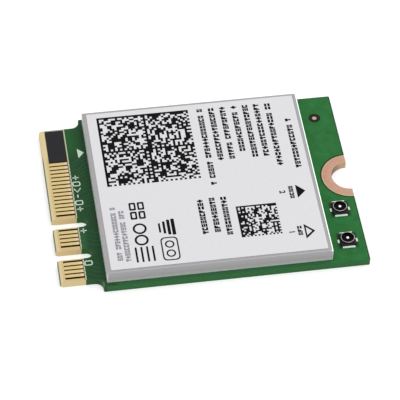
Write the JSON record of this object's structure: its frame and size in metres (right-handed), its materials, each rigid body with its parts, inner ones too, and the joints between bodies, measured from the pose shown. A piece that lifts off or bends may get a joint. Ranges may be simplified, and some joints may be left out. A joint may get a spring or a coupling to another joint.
{
  "type": "laptop wifi card",
  "caption": "Small plug-in wireless card: keyed contact tongue, flat shield can with a label, half hole for a fixing screw and two micro aerial sockets.",
  "frame": {"origin": "centre of the board's underside, midway between the contact edge and the screw end", "axes": "+X from the contact edge to the screw end, +Y across the board away from the aerial sockets, +Z out of the component side"},
  "size_m": [0.03, 0.022, 0.0022],
  "materials": {
    "solder_mask": "green solder mask over a glass-epoxy board, semi-gloss",
    "copper": "bare copper with a thin protective coat, satin",
    "black_film": "black insulating film, matt",
    "tinned_steel": "tinned sheet, satin",
    "label_stock": "light grey printed label, matt",
    "black_moulding": "black heat-proof moulding",
    "plated_contact": "plated contact metal, bright",
    "chip_moulding": "black epoxy, matt",
    "tan_ceramic": "fired ceramic",
    "dark_ceramic": "fired ceramic and ferrite"
  },
  "bodies": {
    "root": {"circuit_board": "solder_mask", "screw_pad": "copper", "contact_film": "black_film", "shield_frame": "tinned_steel", "shield_cover": "tinned_steel", "label": "label_stock", "main_socket_housing": "black_moulding", "main_socket_shell": "plated_contact", "main_socket_pin": "plated_contact", "aux_socket_housing": "black_moulding", "aux_socket_shell": "plated_contact", "aux_socket_pin": "plated_contact", "radio_chip": "chip_moulding", "memory_chip": "chip_moulding", "power_chip": "chip_moulding", "regulator_chip": "chip_moulding", "front_end_main": "chip_moulding", "front_end_aux": "chip_moulding", "power_inductor_1": "dark_ceramic", "power_inductor_2": "dark_ceramic", "band_filter_main": "dark_ceramic", "band_filter_aux": "dark_ceramic", "diplexer_main": "dark_ceramic", "diplexer_aux": "dark_ceramic", "ferrite_bead_1": "dark_ceramic", "ferrite_bead_2": "dark_ceramic", "bulk_capacitor_1": "dark_ceramic", "bulk_capacitor_2": "dark_ceramic", "crystal_case": "tan_ceramic", "crystal_lid": "tinned_steel", "capacitor_01": "tan_ceramic", "capacitor_02": "tan_ceramic", "capacitor_03": "tan_ceramic", "capacitor_04": "tan_ceramic", "capacitor_05": "tan_ceramic", "capacitor_06": "tan_ceramic", "capacitor_07": "tan_ceramic", "capacitor_08": "tan_ceramic", "capacitor_09": "tan_ceramic", "capacitor_10": "tan_ceramic", "capacitor_11": "tan_ceramic", "capacitor_12": "tan_ceramic", "resistor_01": "dark_ceramic", "resistor_02": "dark_ceramic", "resistor_03": "dark_ceramic", "resistor_04": "dark_ceramic", "resistor_05": "dark_ceramic", "resistor_06": "dark_ceramic"}
  },
  "joints": []
}
